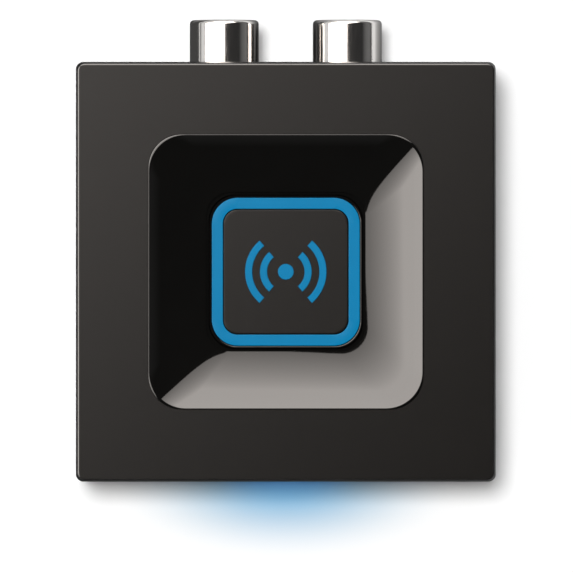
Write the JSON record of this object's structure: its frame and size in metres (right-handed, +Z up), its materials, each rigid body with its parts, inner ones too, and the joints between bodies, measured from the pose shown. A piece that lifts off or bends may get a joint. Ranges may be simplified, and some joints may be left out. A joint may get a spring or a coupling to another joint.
{
  "type": "bluetooth audio receiver",
  "caption": "Square desktop wireless audio receiver with a dished gloss bezel, one large push button, phono, headphone and power sockets in a rear bay, and a rubber base pad.",
  "frame": {"origin": "centre of the underside of the rubber base pad, which is the face the receiver stands on", "axes": "+Z up; +Y towards the rear, where the sockets are; +X to the right seen from above with the rear away from the viewer"},
  "size_m": [0.0508, 0.0561, 0.0246],
  "materials": {
    "housing_black": "fine matt soft-touch texture, warm black",
    "base_black": "fine spark texture",
    "gloss_black": "piano gloss",
    "cap_black": "satin, fine texture",
    "button_blue": "satin translucent blue",
    "pad_rubber": "matt rubber",
    "light_guide": "clear polycarbonate, lit blue",
    "nickel": "bright nickel plate",
    "contact_gold": "gold-flashed phosphor bronze",
    "screw_steel": "black zinc plated",
    "tin_plate": "tinned steel",
    "insulator_white": "moulded, semi-gloss",
    "insulator_red": "moulded, semi-gloss",
    "jack_black": "moulded nylon",
    "board_green": "solder-masked glass epoxy",
    "chip_black": "moulded epoxy",
    "capacitor_can": "drawn aluminium",
    "resistor_body": "glazed alumina"
  },
  "bodies": {
    "receiver": {"top_housing": "housing_black", "base_cover": "base_black", "base_pad": "pad_rubber", "dish_bezel": "gloss_black", "light_guide": "light_guide", "base_screw_1": "screw_steel", "base_screw_2": "screw_steel", "base_screw_3": "screw_steel", "base_screw_4": "screw_steel", "rear_panel": "gloss_black", "phono_block": "jack_black", "phono_shell_left": "nickel", "phono_insulator_left": "insulator_white", "phono_contact_left": "nickel", "phono_shell_right": "nickel", "phono_insulator_right": "insulator_red", "phono_contact_right": "nickel", "audio_jack_body": "jack_black", "audio_jack_ferrule": "nickel", "audio_jack_tip_contact": "contact_gold", "audio_jack_ring_contact": "contact_gold", "audio_jack_sleeve_contact": "contact_gold", "power_jack_body": "jack_black", "power_jack_nose": "jack_black", "power_jack_pin": "nickel", "power_jack_spring": "contact_gold", "main_board": "board_green", "switch_body": "jack_black", "switch_frame": "tin_plate", "switch_dome": "screw_steel", "radio_board": "board_green", "radio_shield": "tin_plate", "radio_antenna": "contact_gold", "converter_chip": "chip_black", "amplifier_chip": "chip_black", "voltage_regulator": "chip_black", "crystal": "tin_plate", "inductor": "chip_black", "protection_diode": "chip_black", "capacitor_1": "capacitor_can", "capacitor_2": "capacitor_can", "capacitor_3": "capacitor_can", "capacitor_4": "capacitor_can", "resistor_1": "resistor_body", "resistor_2": "resistor_body", "resistor_3": "resistor_body", "resistor_4": "resistor_body", "resistor_5": "resistor_body", "resistor_6": "resistor_body", "resistor_7": "resistor_body", "status_led": "insulator_white"},
    "button": {"button_carrier": "gloss_black", "button_ring": "button_blue", "button_cap": "cap_black", "button_icon": "button_blue"},
    "plunger": {"switch_plunger": "chip_black"}
  },
  "joints": [
    {"name": "button_press", "type": "slide", "parent": "receiver", "child": "button", "axis": [0, 0, -1], "range_m": [0, 0.00035], "stiffness_N_per_m": 2500, "springref_m": -0.0003},
    {"name": "switch_travel", "type": "slide", "parent": "receiver", "child": "plunger", "axis": [0, 0, -1], "range_m": [0, 0.00035], "deforming": ["switch_dome"]}
  ],
  "couplings": [
    {"joint": "switch_travel", "follows": "button_press", "ratio": 1}
  ]
}
